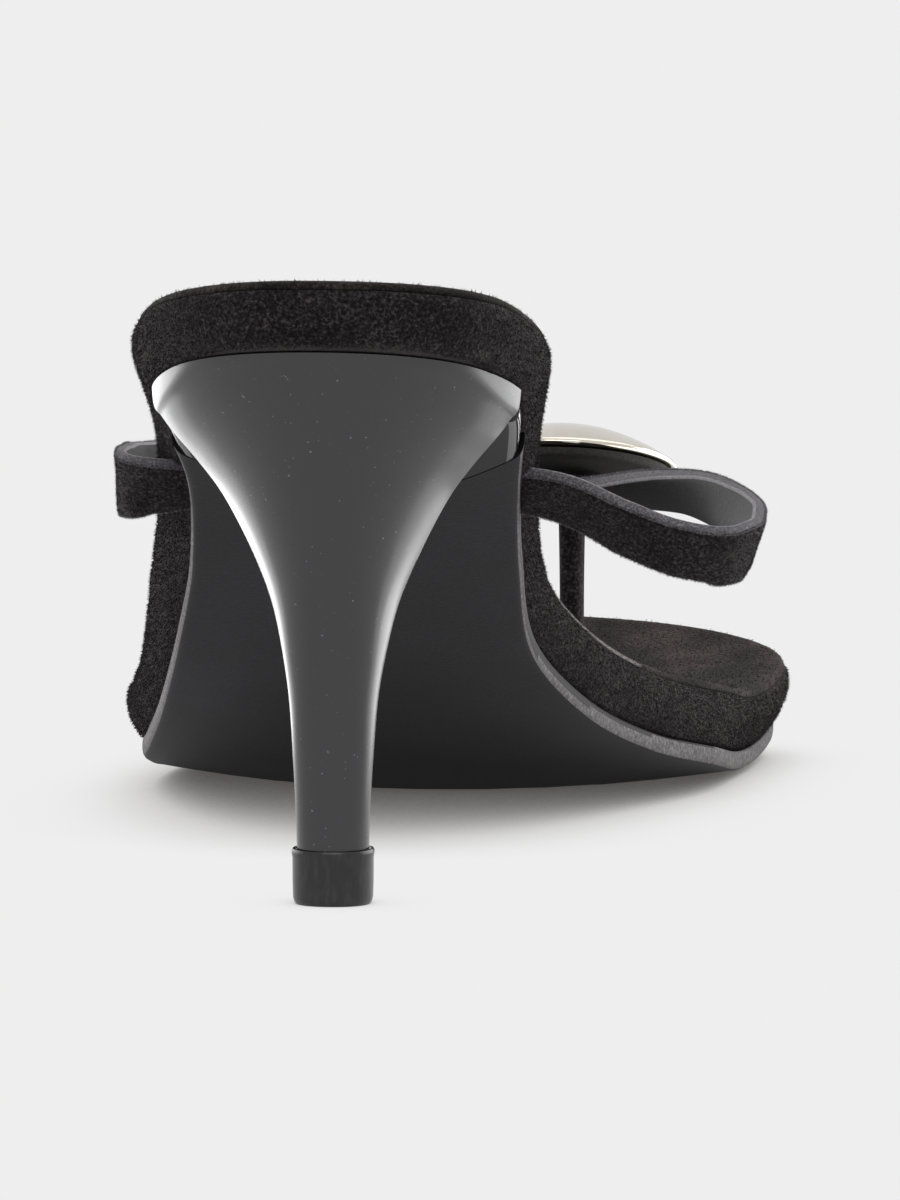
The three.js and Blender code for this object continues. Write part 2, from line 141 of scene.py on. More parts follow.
def drawIn(points, share):  # towards the shoe's middle line
    opposite = np.roll(points[::-1], 1, axis=0)
    middle = (points[:, 0] + opposite[:, 0]) / 2
    y = np.clip(points[:, 1], *shoe["middleLine"])
    target = np.stack([middle, y], axis=-1)
    return points + share * (target - points)


def ringFaces(count, rings):  # quads between rings, and both ends closed straight across
    faces = []
    for ring in range(rings - 1):
        for k in range(count):
            a = ring * count + k
            b = ring * count + (k + 1) % count
            faces.append((a, b, b + count, a + count))
    top = (rings - 1) * count
    for k in range(count // 2):
        near = (k, k + 1, count - k - 1, (count - k) % count)
        if k == 0:
            near = (0, 1, count - 1)
        elif k + 1 == count // 2:
            near = (k, k + 1, count - k)
        faces.append(tuple(reversed(near)))
        faces.append(tuple(top + corner for corner in near))
    return faces


def markFaces(zones, rings, row, marked):  # the faces that start at a ring's marked points get material 1
    count = rings.shape[1]
    zones[row * count:(row + 1) * count][marked] = 1


def addPiece(name, points, faces, materials, nodes=(), zones=None, sharpAngle=60):
    mesh = bpy.data.meshes.new(name)
    mesh.from_pydata((np.reshape(points, (-1, 3)) * mm).tolist(), [], faces)
    for material in materials:
        mesh.materials.append(material)
    mesh.polygons.foreach_set("use_smooth", np.ones(len(mesh.polygons), bool))
    if zones is not None:
        mesh.polygons.foreach_set("material_index", np.asarray(zones, np.int32))
    mesh.set_sharp_from_angle(angle=math.radians(sharpAngle))
    mesh.update()
    piece = bpy.data.objects.new(name, mesh)
    bpy.context.scene.collection.objects.link(piece)
    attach(piece, "root")
    if nodes:
        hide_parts(*nodes)
    print(name, len(mesh.polygons), "faces")
    return piece


def breastLine(x, forward):  # how far forward the seat plate reaches
    bow = (shoe["breastMiddle"] - shoe["breastSide"]) * (x / shoe["breastHalf"]) ** 2
    return shoe["breastMiddle"] - bow + forward


def cutAtBreast(piece, operation, backY, forward):  # a boolean with the tall block behind the breast line
    reach = 40
    x = np.linspace(-reach, reach, 81)
    front = np.stack([x, np.maximum(breastLine(x, forward), backY + shoe["gap"])], axis=-1)
    blockOutline = np.concatenate([front, [(reach, backY), (-reach, backY)]])[::-1]
    count = len(blockOutline)
    corners = [(px, py, height) for height in (-20, 120) for px, py in blockOutline]
    faces = [(k, (k + 1) % count, count + (k + 1) % count, count + k) for k in range(count)]
    faces += [tuple(range(count))[::-1], tuple(range(count, 2 * count))]
    blockMesh = bpy.data.meshes.new("breastBlock")
    blockMesh.from_pydata((np.array(corners) * mm).tolist(), [], faces)
    block = bpy.data.objects.new("breastBlock", blockMesh)
    bpy.context.scene.collection.objects.link(block)
    modifier = piece.modifiers.new("breastCut", "BOOLEAN")
    modifier.operation = operation
    modifier.object = block
    modifier.solver = "EXACT"
    depsgraph = bpy.context.evaluated_depsgraph_get()
    result = bpy.data.meshes.new_from_object(piece.evaluated_get(depsgraph))
    piece.modifiers.clear()
    piece.data = result
    bpy.data.objects.remove(block)
    bpy.data.meshes.remove(blockMesh)


# Materials
def linear(hexColour):
    channels = [int(hexColour[k:k + 2], 16) / 255 for k in (1, 3, 5)]
    return [c / 12.92 if c <= 0.04045 else ((c + 0.055) / 1.055) ** 2.4 for c in channels] + [1]


def addNode(tree, kind, inputs=None, **settings):  # one node, its settings, and its values or links
    node = tree.nodes.new(kind)
    for name, value in settings.items():
        setattr(node, name, value)
    for name, value in (inputs or {}).items():
        if isinstance(value, bpy.types.NodeSocket):
            tree.links.new(value, node.inputs[name])
        else:
            node.inputs[name].default_value = value
    return node


def addRamp(tree, factor, stops):
    ramp = addNode(tree, "ShaderNodeValToRGB", {"Fac": factor})
    while len(ramp.color_ramp.elements) < len(stops):
        ramp.color_ramp.elements.new(0.5)
    for element, (place, colour) in zip(ramp.color_ramp.elements, stops):
        element.position = place
        element.color = linear(colour) if isinstance(colour, str) else (colour, colour, colour, 1)
    return ramp.outputs["Color"]


def newMaterial(name):
    material = bpy.data.materials.new(name)
    material.use_nodes = True
    tree = material.node_tree
    place = addNode(tree, "ShaderNodeTexCoord").outputs["Object"]
    return material, tree, tree.nodes["Principled BSDF"], place


def setShader(tree, shader, colour, values):  # the base colour's node, and the uniform values
    tree.links.new(colour, shader.inputs["Base Color"])
    for name, value in values.items():
        shader.inputs[name].default_value = value


# Noise with grains of a size in mm
def grain(tree, place, size, detail=3, stretch=(1, 1, 1), roughness=0.5):
    scale = [share / (size * mm) for share in stretch]
    scaled = addNode(tree, "ShaderNodeMapping", {"Vector": place, "Scale": scale})
    noise = addNode(tree, "ShaderNodeTexNoise", {
        "Vector": scaled.outputs["Vector"], "Scale": 1, "Detail": detail, "Roughness": roughness})
    return noise.outputs["Fac"]


def addBump(tree, shader, height, depth):  # depth in mm
    bump = addNode(tree, "ShaderNodeBump", {"Height": height, "Strength": 1, "Distance": depth * mm})
    tree.links.new(bump.outputs["Normal"], shader.inputs["Normal"])


# Split-leather suede, brushed: a short nap that stays dark face on and lifts to brown at a grazing look
suedeLook = {
    "deep": "#0a0909",
    "body": "#1c191a",
    "fleck": "#484143",
    "napSize": 0.45,  # mm, coarser than the real nap so that it shows
    "patchSize": 7.0,
    "patchShare": 0.12,
    "napDepth": 0.3,
    "sheenColour": "#a89f9d",
    "shader": {
        "Roughness": 0.95,
        "Specular IOR Level": 0.15,
        "Sheen Weight": 0.15,
        "Sheen Roughness": 0.45,
    },
}


def makeSuede(name, look):
    material, tree, shader, place = newMaterial(name)
    nap = grain(tree, place, look["napSize"], detail=4, roughness=0.65)
    patch = grain(tree, place, look["patchSize"], detail=2)
    mixed = addNode(tree, "ShaderNodeMix", {"Factor": look["patchShare"], "A": nap, "B": patch})
    colour = addRamp(tree, mixed.outputs["Result"], [
        (0.38, look["deep"]), (0.5, look["body"]), (0.66, look["fleck"])])
    setShader(tree, shader, colour, {**look["shader"], "Sheen Tint": linear(look["sheenColour"])})
    addBump(tree, shader, nap, look["napDepth"])
    return material


suedeWall = makeSuede("suedeBrushedBlack", suedeLook)
suedeSock = makeSuede("suedeSockWorn", {
    **suedeLook, "deep": "#090807", "body": "#1a1615", "fleck": "#463e3a", "patchSize": 11, "patchShare": 0.5})
suedeNap = makeSuede("suedeNapFibres", {**suedeLook, "body": "#191617", "fleck": "#474143"})

# The cut side of split leather: grey fibres, paler than the nap
cutLook = {"dark": "#2f2d31", "body": "#4c4a4f", "pale": "#807d81", "fibreSize": 0.35, "depth": 0.15}


def makeCutEdge(name, look):
    material, tree, shader, place = newMaterial(name)
    fibre = grain(tree, place, look["fibreSize"], detail=4, roughness=0.7)
    colour = addRamp(tree, fibre, [(0.33, look["dark"]), (0.5, look["body"]), (0.68, look["pale"])])
    setShader(tree, shader, colour, {"Roughness": 0.8})
    addBump(tree, shader, fibre, look["depth"])
    return material


cutEdge = makeCutEdge("leatherCutEdge", cutLook)
liningRim = makeCutEdge("liningRimPale", {**cutLook, "dark": "#545256", "body": "#767478", "pale": "#a3a1a4"})
# the sock's rim, paler brown: partly its cut edge, partly a painted highlight along the rolled rim
sockRimHighlight = makeCutEdge("sockRimBrownPaintedHighlight", {**cutLook, "dark": "#3c3634", "body": "#5f5854", "pale": "#8d8480"})
fringeFibre = makeCutEdge("leatherFringeFibres", {
    **cutLook, "dark": "#343132", "body": "#5d5a5c", "pale": "#969396"})

# Coated lining leather: smooth, printed with a fine grain that catches the light
liningLook = {
    "dark": "#080708",
    "body": "#0f0e0f",
    "pale": "#2c292b",
    "grainSize": 0.6,
    "depth": 0.12,
    "shader": {"Roughness": 0.62, "Specular IOR Level": 0.2},
}
lining, liningTree, liningShader, liningPlace = newMaterial("liningCoatedGrey")
liningGrain = grain(liningTree, liningPlace, liningLook["grainSize"], detail=4, roughness=0.6)
liningColour = addRamp(liningTree, liningGrain, [
    (0.36, liningLook["dark"]), (0.5, liningLook["body"]), (0.68, liningLook["pale"])])
setShader(liningTree, liningShader, liningColour, liningLook["shader"])
addBump(liningTree, liningShader, liningGrain, liningLook["depth"])

# Thermoplastic rubber sheet: matte charcoal with a faint printed grain
soleLook = {
    "dark": "#0e0c10",
    "body": "#141216",
    "pale": "#1d1a1f",
    "grainSize": 0.5,
    "patchSize": 30,
    "depth": 0.03,
    "shader": {"Roughness": 0.62, "Specular IOR Level": 0.25},
}
soleSheet, soleTree, soleShader, solePlace = newMaterial("rubberSheetMatte")
soleGrain = grain(soleTree, solePlace, soleLook["grainSize"], detail=3)
solePatch = grain(soleTree, solePlace, soleLook["patchSize"])
soleMixed = addNode(soleTree, "ShaderNodeMath", {0: soleGrain, 1: solePatch}, operation="ADD")
soleHalf = addNode(soleTree, "ShaderNodeMath", {0: soleMixed.outputs[0], 1: 0.5}, operation="MULTIPLY")
soleColour = addRamp(soleTree, soleHalf.outputs[0], [
    (0.35, soleLook["dark"]), (0.5, soleLook["body"]), (0.65, soleLook["pale"])])
setShader(soleTree, soleShader, soleColour, soleLook["shader"])
addBump(soleTree, soleShader, soleGrain, soleLook["depth"])
soleRim = makeCutEdge("rubberTrimmedEdge", {
    "dark": "#3c393a", "body": "#5a5657", "pale": "#7f7b7b", "fibreSize": 0.6, "depth": 0.06})

# Polished ABS, moulded: deep black with a clear mirror that turns white at the flanks
heelLook = {
    "body": "#161519",
    "dust": "#6b6b70",
    "dustSize": 0.6,
    "smearSize": 9,
    "smear": ((0.3, 0.17), (0.7, 0.26)),  # roughness where the polish is clean and where it is handled
    "waveSize": 22,
    "waveDepth": 0.25,
    "shader": {"IOR": 1.66},
}
heelGloss, heelTree, heelShader, heelPlace = newMaterial("absPolishedBlack")
dustGrain = grain(heelTree, heelPlace, heelLook["dustSize"], detail=2)
heelColour = addRamp(heelTree, dustGrain, [
    (0.0, heelLook["body"]), (0.71, heelLook["body"]), (0.78, heelLook["dust"])])
setShader(heelTree, heelShader, heelColour, heelLook["shader"])
heelSmear = addRamp(heelTree, grain(heelTree, heelPlace, heelLook["smearSize"]), heelLook["smear"])
heelTree.links.new(heelSmear, heelShader.inputs["Roughness"])
addBump(heelTree, heelShader, grain(heelTree, heelPlace, heelLook["waveSize"], detail=1), heelLook["waveDepth"])

# The same plastic, satin, and a little darker than the gloss as painted shade: the underside of the seat plate,
# which sits in shadow under the footbed
satinLook = {
    "dark": "#0b0a0c",
    "body": "#131215",
    "patchSize": 5,
    "shader": {"Roughness": 0.5, "Specular IOR Level": 0.25},
}
plateSatinShaded, satinTree, satinShader, satinPlace = newMaterial("absSatinBlackPaintedShade")
satinPatch = grain(satinTree, satinPlace, satinLook["patchSize"])
satinColour = addRamp(satinTree, satinPatch, [(0.35, satinLook["dark"]), (0.65, satinLook["body"])])
setShader(satinTree, satinShader, satinColour, satinLook["shader"])

# Polyurethane lift: half gloss, a little scuffed
liftLook = {
    "body": "#101011",
    "worn": "#232324",
    "scuffSize": 0.8,
    "scuffStretch": (1, 1, 0.3),
    "scuffDepth": 0.03,
    "shader": {"Roughness": 0.3},
}
liftPlastic, liftTree, liftShader, liftPlace = newMaterial("polyurethaneLift")
liftScuff = grain(liftTree, liftPlace, liftLook["scuffSize"], detail=4, stretch=liftLook["scuffStretch"])
liftColour = addRamp(liftTree, liftScuff, [(0.45, liftLook["body"]), (0.7, liftLook["worn"])])
setShader(liftTree, liftShader, liftColour, liftLook["shader"])
addBump(liftTree, liftShader, liftScuff, liftLook["scuffDepth"])

# Nickel plate over zinc, polished: a warm pale mirror
nickelLook = {
    "dull": "#d6cfc0",
    "bright": "#dfd9cc",
    "hazeSize": 3,
    "waveSize": 6,
    "waveDepth": 0.06,
    "shader": {"Metallic": 1, "Roughness": 0.12},
}
nickel, nickelTree, nickelShader, nickelPlace = newMaterial("nickelPlatedZinc")
nickelHaze = grain(nickelTree, nickelPlace, nickelLook["hazeSize"])
nickelColour = addRamp(nickelTree, nickelHaze, [(0.3, nickelLook["dull"]), (0.7, nickelLook["bright"])])
setShader(nickelTree, nickelShader, nickelColour, nickelLook["shader"])
nickelWave = grain(nickelTree, nickelPlace, nickelLook["waveSize"], detail=1)
addBump(nickelTree, nickelShader, nickelWave, nickelLook["waveDepth"])

# Felt-faced backing card
backingLook = {
    "dark": "#1a1715",
    "pale": "#2b2724",
    "fibreSize": 0.4,
    "depth": 0.08,
    "shader": {"Roughness": 0.85},
}
backing, backingTree, backingShader, backingPlace = newMaterial("backingFeltBlack")
backingGrain = grain(backingTree, backingPlace, backingLook["fibreSize"])
backingColour = addRamp(backingTree, backingGrain, [(0.4, backingLook["dark"]), (0.65, backingLook["pale"])])
setShader(backingTree, backingShader, backingColour, backingLook["shader"])
addBump(backingTree, backingShader, backingGrain, backingLook["depth"])
print("materials ready")


# Plates that follow the bed
def bellyAt(y):
    return shoe["bellyDepth"] * np.exp(-(((y - shoe["bellyPlace"]) / shoe["bellySpread"]) ** 2))


def plateRings(edge, lowerBelly, upperBelly, lowerDish, upperDish, steps, shares, startY=None):
    # edge runs from the underside up: tucked in, offset outwards, depth below the bed
    def ring(tucked, out, depth, share, belly, dish):
        points = drawIn(offsetOutline(outline(tucked, steps, startY), out), share)
        full = 1 - (1 - share) ** 2
        return bedPoints(points[:, 0], points[:, 1], depth + (belly * bellyAt(points[:, 1]) + dish) * full)

    rings = [ring(*edge[0], share, lowerBelly, lowerDish) for share in reversed(shares)]
    rings += [ring(*step, 0, 0, 0) for step in edge]
    rings += [ring(*edge[-1], share, upperBelly, upperDish) for share in shares]
    return np.array(rings)


# Footbed: board and foam wrapped in suede, its side swelling out between two rolled edges
footbedLook = {
    "steps": 480,
    "insideShares": (0.03, 0.1, 0.3, 0.62, 0.92),
    "edge": (
        (1, -1.6, 8.7), (1, -0.7, 8.68), (0.97, -0.2, 8.45), (0.92, 0.12, 8.0), (0.82, 0.4, 7.3),
        (0.66, 0.68, 6.5), (0.5, 0.86, 5.7), (0.36, 0.96, 4.8), (0.22, 0.98, 3.9), (0.12, 0.92, 3.1),
        (0.05, 0.77, 2.4), (0.01, 0.58, 1.8), (0, 0.38, 1.46), (0, -0.5, 1.36),
    ),
    # side (1 medial, -1 lateral), place along the shoe, how much further forward it runs at the top than at the
    # bottom, half width, and depth inwards; the first is the seam of the wrap
    "folds": (
        (1, 157.5, -3.0, 1.3, 0.7),
        (1, 151, 2.5, 2.6, 0.18),
        (1, 166, -2, 3.4, -0.2),
        (1, 172, 1.5, 2.2, 0.16),
        (1, 128, -2.5, 3.5, 0.22),
        (1, 117, 2, 2.6, -0.18),
        (1, 101, -3, 2.4, 0.2),
        (1, 88, -2, 3, -0.16),
        (1, 62, 2, 3, 0.14),
        (1, 20, -1.5, 3.6, 0.16),
        (-1, 131, -1, 3.2, -0.45),
        (-1, 122, -2, 3, 0.25),
        (-1, 104, 1.5, 3.4, 0.2),
        (-1, 78, -1.5, 3, 0.2),
        (-1, 61, 2, 2.6, -0.2),
        (-1, 18, -2, 3.6, 0.16),
    ),
    "foldEase": (0.06, 0.4),  # how far from the wall's two edges a fold is still deep, and how squarely it ends
    "toeWrap": (158, 190),  # the medial side between these is wrapped with the sock's browner suede
}
footbedRings = plateRings(footbedLook["edge"], 1, 0, 0, shoe["bedDish"], footbedLook["steps"],
                          footbedLook["insideShares"])
wallStart = len(footbedLook["insideShares"])
wallEnd = wallStart + len(footbedLook["edge"]) - 1
wallPoints = footbedRings[wallStart:wallEnd]  # a view of the rings, so the folds land in them
upShare = np.linspace(0, 1, len(wallPoints))[:, None]
easeEdge, easeBend = footbedLook["foldEase"]
foldStrength = np.sin(math.pi * np.clip(upShare, easeEdge, 1 - easeEdge)) ** easeBend
for side, place, lean, halfWidth, foldDepth in footbedLook["folds"]:
    away = (wallPoints[..., 1] - place - lean * (upShare - 0.5)) / halfWidth
    onSide = side * wallPoints[..., 0] > 0
    wallPoints[..., 0] -= side * foldDepth * foldStrength * np.exp(-(away**2)) * onSide
footbedFaces = ringFaces(footbedRings.shape[1], len(footbedRings))
footbedZones = np.zeros(len(footbedFaces), int)
wrapFrom, wrapTo = footbedLook["toeWrap"]
for row in range(wallStart, wallEnd):
    x, y = footbedRings[row, :, 0], footbedRings[row, :, 1]
    markFaces(footbedZones, footbedRings, row, (x > 0) & (wrapFrom < y) & (y < wrapTo))
footbed = addPiece("footbedWrap", footbedRings, footbedFaces, [suedeWall, suedeSock], ["footbed"],
                   footbedZones)

# Sock: the suede sheet over the bed, its cut rim paler along the waist's inner side: partly the cut edge's own
# colour, partly a painted highlight where the rim catches the light
sockLook = {
    "steps": 260,
    "insideShares": (0.015, 0.04, 0.08, 0.14, 0.22, 0.3, 0.38, 0.46, 0.54, 0.62, 0.7, 0.78, 0.86, 0.95),
    "edge": ((0, -0.9, 1.34), (0, 0.12, 1.34), (0, 0.27, 1.2), (0, 0.25, 0.95), (0, 0.12, 0.65),
             (0, -0.14, 0.38), (0, -0.5, 0.17), (0, -1.0, 0.04), (0, -1.7, 0.0)),
    # soft hollows and swellings: x, y, turn from across the shoe in degrees, half length, half width, rise
    "marks": (
        (30, 166, 10, 9, 5, -0.35),
        (-6, 172, 4, 14, 6, -0.3),
        (22, 181, 14, 12, 3, 0.25),
        (6, 128, 2, 20, 5, 0.25),
        (-4, 118, -3, 22, 5, -0.25),
        (8, 142, 0, 18, 4, -0.2),
        (-14, 152, -8, 12, 4, 0.2),
        (2, 40, 0, 14, 5, -0.15),
    ),
    "paleRim": (55, 108),
}
sockRings = plateRings(sockLook["edge"], 0, 0, shoe["bedDish"], shoe["bedDish"], sockLook["steps"],
                       sockLook["insideShares"])
for x, y, turn, halfLength, halfWidth, rise in sockLook["marks"]:
    cosine = math.cos(math.radians(turn))
    sine = math.sin(math.radians(turn))
    right = sockRings[..., 0] - x
    ahead = sockRings[..., 1] - y
    alongMark = right * cosine + ahead * sine
    acrossMark = ahead * cosine - right * sine
    sockRings[..., 2] += rise * np.exp(-(alongMark / halfLength) ** 4 - (acrossMark / halfWidth) ** 2)
sockFaces = ringFaces(sockRings.shape[1], len(sockRings))
sockZones = np.zeros(len(sockFaces), int)
rimStart = len(sockLook["insideShares"]) + 2
paleFrom, paleTo = sockLook["paleRim"]
# only the two rim rows along the medial waist take the pale rim, partly a painted highlight
for row in (rimStart, rimStart + 1):
    y = sockRings[row, :, 1]
    medial = np.arange(len(y)) < sockLook["steps"]
    markFaces(sockZones, sockRings, row, medial & (paleFrom < y) & (y < paleTo))
addPiece("sockSheet", sockRings, sockFaces, [suedeSock, sockRimHighlight], ["insole_sock"], sockZones)

# Outsole: a thin sheet from the seat plate to the toe, ground flat where it treads
outsoleLook = {
    "steps": 220,
    "rearStart": 12,
    "insideShares": (0.02, 0.06, 0.14, 0.26, 0.42, 0.6, 0.8, 0.95),
    "edge": ((1, -1.5, 11.8), (1, -0.85, 11.74), (1, -0.4, 11.5), (1, -0.14, 11.1), (1, -0.02, 10.5),
             (1, 0, 9.9), (1, -0.04, 9.35), (1, -0.3, 9.03)),
    # where each row of the edge begins to be trimmed bare, from the second lowest up
    "bandFrom": (158, 0, 72, 92, 112, 134),
}
outsoleRings = plateRings(outsoleLook["edge"], 1, 1, 0, 0, outsoleLook["steps"], outsoleLook["insideShares"],
                          outsoleLook["rearStart"])
outsoleRings[..., 2] = np.maximum(outsoleRings[..., 2], 0)
outsoleFaces = ringFaces(outsoleRings.shape[1], len(outsoleRings))
outsoleZones = np.zeros(len(outsoleFaces), int)
for row, bandFrom in enumerate(outsoleLook["bandFrom"], len(outsoleLook["insideShares"]) + 1):
    markFaces(outsoleZones, outsoleRings, row, outsoleRings[row, :, 1] > bandFrom)
outsole = addPiece("outsoleSheet", outsoleRings, outsoleFaces, [soleSheet, soleRim],
                   ["outsole"], outsoleZones)
behindHeel = -40
cutAtBreast(outsole, "DIFFERENCE", behindHeel, shoe["gap"])

# Heel: a stem that flares into the seat, one section a row from the top piece up. A front with a bend of 2
# leaves a crisp edge down each flank.
heelColumns = ("back", "backHeight", "side", "sideHeight", "half", "breast", "breastHeight", "bend")
heelRows = np.array([
    (-4.9, 7.3, 0, 7.3, 4.8, 4.9, 7.3, 1),
    (-4.9, 13, 0, 13, 5, 5, 13, 1),
    (-5.1, 20, 0.4, 20, 5.4, 5.3, 20, 1),
    (-5.6, 28, 1, 27.5, 6, 6, 27, 1.1),
    (-6.6, 35, 2, 34, 7.1, 6.9, 33, 1.3),
    (-8, 41.5, 3, 39.4, 8.4, 8.2, 38, 1.5),
    (-9.7, 47.5, 4, 44.1, 10.2, 10.2, 42, 1.7),
    (-11.8, 54, 4.4, 49.5, 12.7, 13.4, 46, 1.9),
    (-13.8, 60, 4.4, 54.5, 15.5, 17.6, 49.5, 2),
    (-15.6, 65, 4.2, 58.6, 18.6, 22, 52.2, 2),
    (-17.2, 69.5, 4, 62.1, 21.6, 26, 54.6, 2),
    (-18.5, 73, 4, 64.4, 23.3, 28.4, 56.4, 2),
    (-19.8, 76.5, 4.2, 66.4, 24.5, 29.2, 58.5, 2),
    (-20.8, 84, 4.6, 74, 24.9, 29.2, 66, 2),
])
heelTable = dict(zip(heelColumns, heelRows.T))
heelShape = {
    "rings": 120,
    "quarter": 44,
    "backSquare": 2.2,
    "flankTurn": 0.8,  # how much of a quarter turn the back makes before the flank's edge
    "seatDepth": shoe["wallHeight"] + shoe["gap"],  # where the shell meets the footbed, below the bed
}


def heelPoints(level, turn):  # turn runs from the back round to the breast
    at = {name: curveAt(np.arange(len(heelRows)), values, level) for name, values in heelTable.items()}
    front = turn > np.pi / 2
    power = 2 / heelShape["backSquare"]
    spread = heelShape["flankTurn"] + (1 - heelShape["flankTurn"]) * np.clip(2 - at["bend"], 0, 1)
    flankSine = np.sin(spread * np.pi / 2) ** power
    flankCosine = np.maximum(np.cos(spread * np.pi / 2), 0) ** power
    backTurn = np.minimum(turn, np.pi / 2) * spread
    backAcross = np.sin(backTurn) ** power / flankSine
    backShare = (np.maximum(np.cos(backTurn), 0) ** power - flankCosine) / (1 - flankCosine)
    across = at["half"] * np.where(front, np.maximum(np.sin(turn), 0), backAcross)
    share = np.where(front, np.abs(np.cos(turn)) ** at["bend"], backShare)
    y = at["side"] + share * (np.where(front, at["breast"], at["back"]) - at["side"])
    z = at["sideHeight"] + share * (np.where(front, at["breastHeight"], at["backHeight"]) - at["sideHeight"])
    return np.stack([across, y, z], axis=-1)


halfTurn = np.pi * np.arange(2 * heelShape["quarter"] + 1) / (2 * heelShape["quarter"])
levels = np.linspace(0, len(heelRows) - 1, 400)
fineDepth = depthUnderBed(heelPoints(levels[:, None], halfTurn[None, :]))
columns = []
for k in range(len(halfTurn)):
    high = np.interp(-heelShape["seatDepth"], -fineDepth[:, k], levels)
    columns.append(heelPoints(np.linspace(0, high, heelShape["rings"]), halfTurn[k]))
halfRings = np.stack(columns, axis=1)
heelRings = np.concatenate([halfRings, halfRings[:, -2:0:-1] * (-1, 1, 1)], axis=1)
heelFaces = [tuple(reversed(face)) for face in ringFaces(heelRings.shape[1], len(heelRings))]
addPiece("heelShell", heelRings, heelFaces, [heelGloss], ["heel"], sharpAngle=22)

# Seat plate: the heel's thin plate that runs on forward under the footbed to the breast line
plateLook = {
    "steps": 200,
    "rearStart": 5,
    "back": 9,
    "insideShares": (0.02, 0.08, 0.2, 0.4, 0.7, 0.95),
    "edge": ((1, -2.2, 11.8), (1, -1.5, 11.72), (1, -1.0, 11.45), (1, -0.76, 11.0), (1, -0.7, 10.4),
             (1, -0.7, 9.4), (1, -0.9, 9.03)),
}
seatRings = plateRings(plateLook["edge"], 1, 1, 0, 0, plateLook["steps"], plateLook["insideShares"],
                       plateLook["rearStart"])
seatFaces = ringFaces(seatRings.shape[1], len(seatRings))
seatZones = np.zeros(len(seatFaces), int)
# the underside faces take the satin material, whose darker colour is painted shade
seatZones[:len(plateLook["insideShares"]) * seatRings.shape[1]] = 1
seatPlate = addPiece("seatPlate", seatRings, seatFaces, [heelGloss, plateSatinShaded], ["heel"],
                     seatZones)
cutAtBreast(seatPlate, "INTERSECT", plateLook["back"], 0)

# Top piece: the small hard lift, with a thin lip standing round the stem
liftShape = {
    "count": 96,
    "squareness": 2.2,
    "profile": ((4.6, 4.8, 0), (4.95, 5.15, 0.05), (5.2, 5.4, 0.35), (5.32, 5.5, 0.9), (5.38, 5.5, 3),
                (5.4, 5.52, 6.2), (5.5, 5.6, 6.7), (5.52, 5.62, 7.1), (5.36, 5.46, 7.35), (5.15, 5.25, 7.3),
                (5.06, 5.16, 7.0), (4.6, 4.7, 6.98)),
}


def roundRing(x, y, z, halfX, halfY, squareness, count):  # a level ring, squarer than an ellipse
    turn = 2 * np.pi * np.arange(count) / count
    across = np.sin(turn)
    along = -np.cos(turn)
    bent = [np.sign(v) * np.abs(v) ** (2 / squareness) for v in (across, along)]
    return np.stack([x + halfX * bent[0], y + halfY * bent[1], np.full(count, float(z))], axis=-1)


liftRings = np.array([roundRing(0, 0, z, halfX, halfY, liftShape["squareness"], liftShape["count"])
                      for halfX, halfY, z in liftShape["profile"]])
addPiece("topLift", liftRings, ringFaces(liftRings.shape[1], len(liftRings)), [liftPlastic],
         ["top_piece"])

# Ribbons: where the centre line runs, and the direction across it to the edge that shows from behind
medialArm = np.array([
    (8, 37.6, 52.2, 0, -0.84, 0.54),
    (20, 37.6, 52, 0, -0.8, 0.6),
    (28, 37.2, 50.5, 0, -0.72, 0.69),
    (36, 36.2, 46.8, 0, -0.62, 0.78),
    (43, 35.6, 44.3, 0, -0.62, 0.78),
    (48.4, 36.8, 43.4, 0.15, -0.65, 0.74),
    (51, 42.5, 43.4, 0.28, -0.62, 0.72),
    (51.2, 53, 44, 0.3, -0.52, 0.78),
    (49.2, 69, 44.3, 0.1, -0.35, 0.9),
    (45, 86, 44.9, -0.2, -0.28, 0.9),
    (39.8, 103, 44.8, -0.5, -0.3, 0.68),
    (33.5, 120, 44, -0.65, -0.4, 0.48),
    (26, 138, 42.2, -0.7, -0.5, 0.33),
    (16, 159, 40.2, -0.77, -0.57, 0.19),
])
lateralArm = np.array([
    (-10, 37.6, 52.2, 0, -0.84, 0.54),
    (-23, 37.6, 52.2, 0, -0.78, 0.62),
    (-27.5, 37.6, 52, 0, -0.68, 0.73),
    (-31.1, 39.3, 52, 0.03, -0.66, 0.75),
    (-33.1, 45, 51.8, 0.06, -0.66, 0.75),
    (-34, 56, 51.2, 0.05, -0.52, 0.85),
    (-35.4, 74, 49.7, 0, -0.3, 0.94),
    (-36.7, 93, 48, -0.05, -0.2, 0.97),
    (-34.8, 112, 46.6, 0.1, -0.25, 0.94),
    (-27, 128, 44.8, 0.25, -0.4, 0.86),
    (-14, 141, 42.6, 0.38, -0.55, 0.7),
    (1, 151, 40.6, 0.47, -0.65, 0.45),
    (18, 158, 40.2, 0.57, -0.76, 0.25),
])
ribbonShape = {
    "stepsPerRow": 16,
    "smoothing": 12,
    # one side of the section from the middle of the suede face round to the middle of the lining:
    # across, through, and which material follows it (0 suede, 1 cut edge, 2 lining rim, 3 lining)
    "section": (
        (0, 1.12, 0), (1.7, 1.1, 0), (3.1, 1.05, 0), (4.05, 0.96, 0), (4.5, 0.82, 1), (4.72, 0.58, 1),
        (4.8, 0.28, 1), (4.82, -0.04, 1), (4.8, -0.36, 1), (4.76, -0.64, 2), (4.66, -0.86, 2), (4.42, -1.0, 3),
        (3.8, -1.06, 3), (2.5, -1.05, 3), (1.25, -1.04, 3), (0, -1.03, 3),
    ),
}


